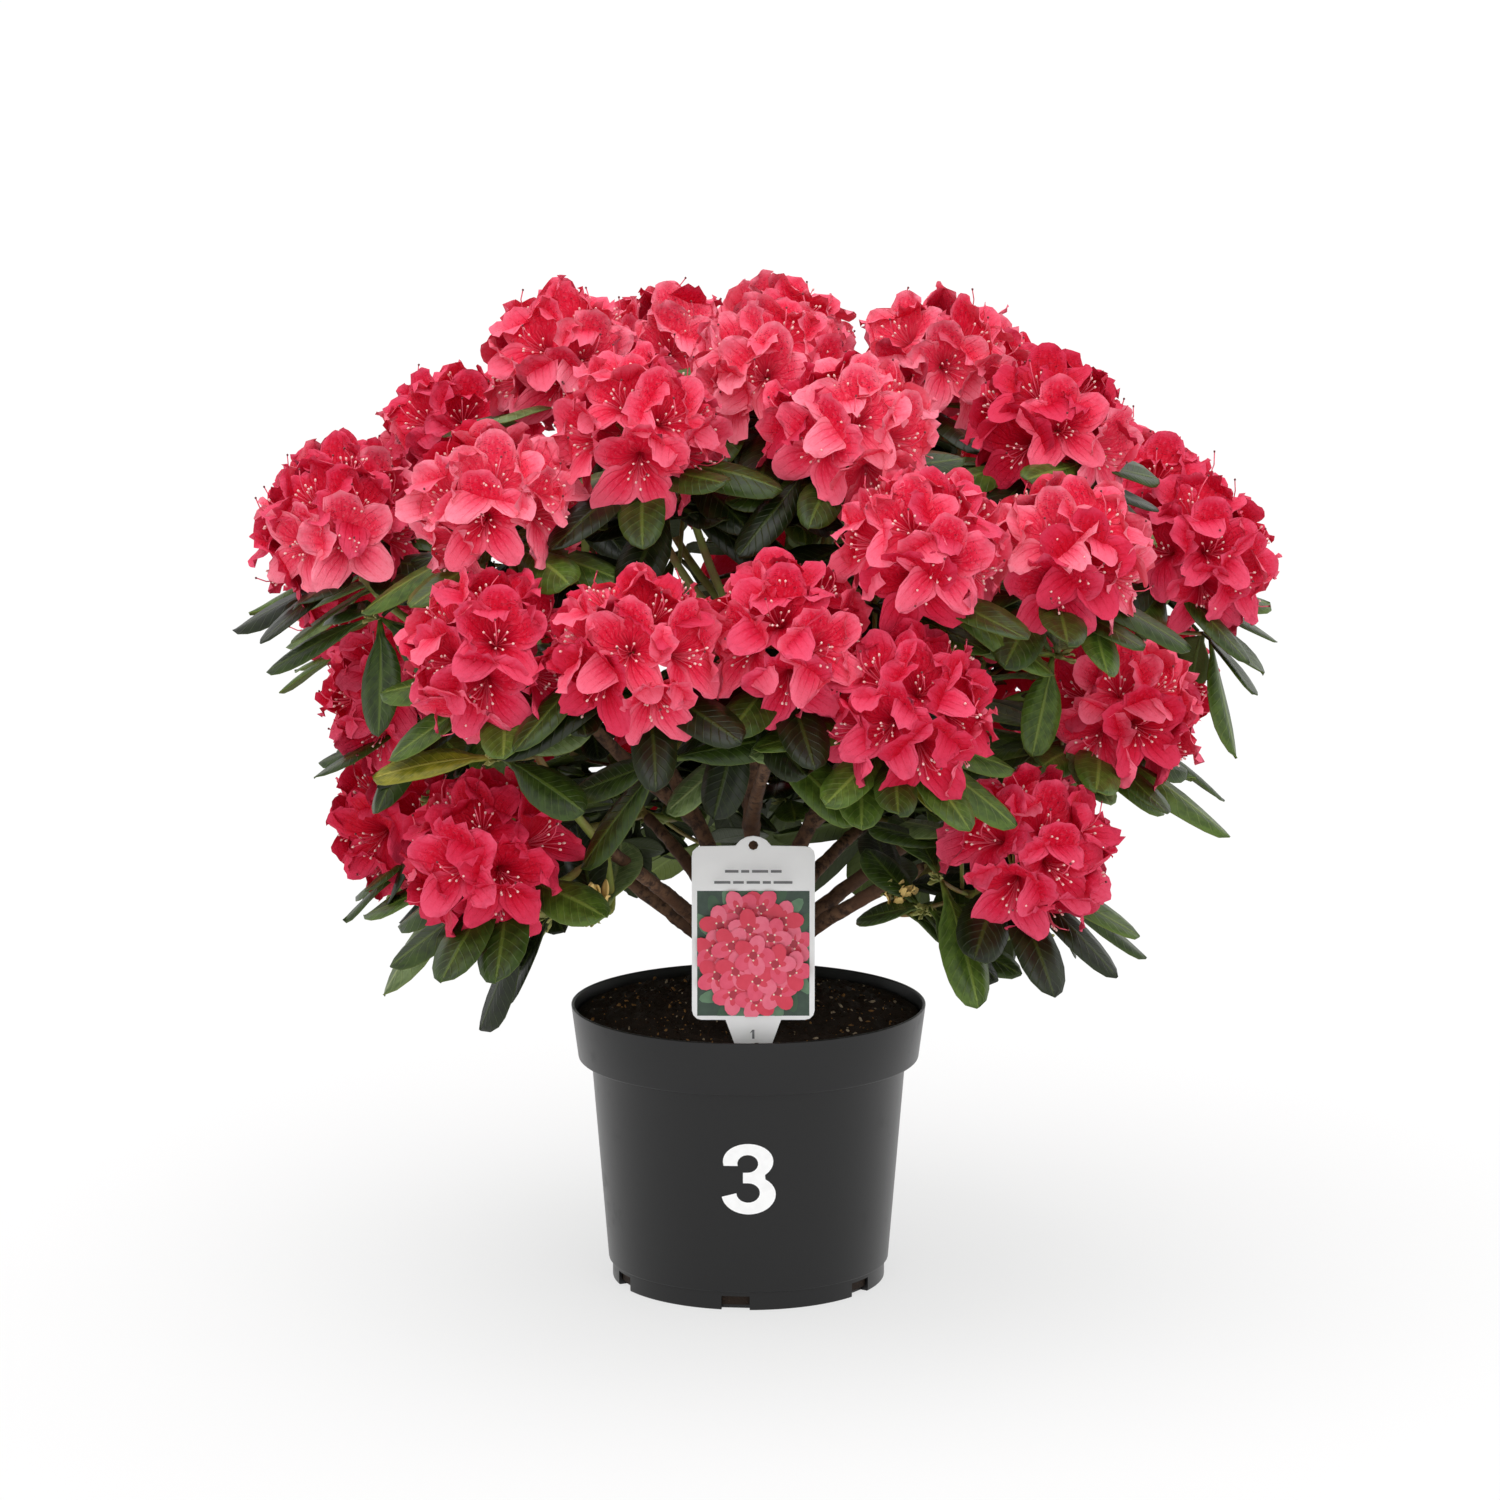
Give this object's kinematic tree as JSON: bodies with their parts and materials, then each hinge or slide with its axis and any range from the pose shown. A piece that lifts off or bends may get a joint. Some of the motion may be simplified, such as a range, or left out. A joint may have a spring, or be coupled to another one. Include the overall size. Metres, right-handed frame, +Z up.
{
  "type": "potted rhododendron",
  "caption": "Compact evergreen shrub in full flower, with domed flower heads over whorls of leaves, in a round nursery pot with a plant label.",
  "frame": {"origin": "middle of the pot's flat underside, where it stands", "axes": "+Z up, -Y towards the front with the number and the label, +X to the right"},
  "size_m": [0.5364, 0.561, 0.5415],
  "materials": {
    "pot": "charcoal black moulded plastic, satin",
    "compost": "moist peat-like compost with bark flecks",
    "label": "white plastic tag",
    "bark": "brown bark, finely split",
    "foliage": "coral red flowers over dark green leaves",
    "flower": "coral red petals, deep crimson throats",
    "stamen": "pink filaments with pale anthers",
    "leaf": "leathery dark green leaf with a soft sheen",
    "twig": "young yellow-green stem",
    "print": "printed ink"
  },
  "bodies": {
    "root": {"pot": "pot", "compost": "compost", "plant_label": "label", "trunk": "bark", "bough_crown_front": "bark", "bough_crown_right": "bark", "bough_crown_back": "bark", "bough_crown_left": "bark", "bough_low_front_left": "bark", "bough_low_front_right": "bark", "bough_low_left": "bark", "bough_low_right": "bark", "bough_low_back_left": "bark", "bough_low_back_right": "bark", "bough_front": "bark", "bough_shoulder_right": "bark", "bough_shoulder_left": "bark", "bough_back": "bark", "bough_back_left": "bark", "bough_back_right": "bark", "foliage_crown_front": "foliage", "foliage_crown_right": "foliage", "foliage_crown_back": "foliage", "foliage_crown_left": "foliage", "foliage_low_front_left": "foliage", "foliage_low_front_right": "foliage", "foliage_low_left": "foliage", "foliage_low_right": "foliage", "foliage_low_back_left": "foliage", "foliage_low_back_right": "foliage", "foliage_front": "foliage", "foliage_shoulder_right": "foliage", "foliage_shoulder_left": "foliage", "foliage_back": "foliage", "foliage_back_left": "foliage", "foliage_back_right": "foliage"}
  },
  "joints": []
}
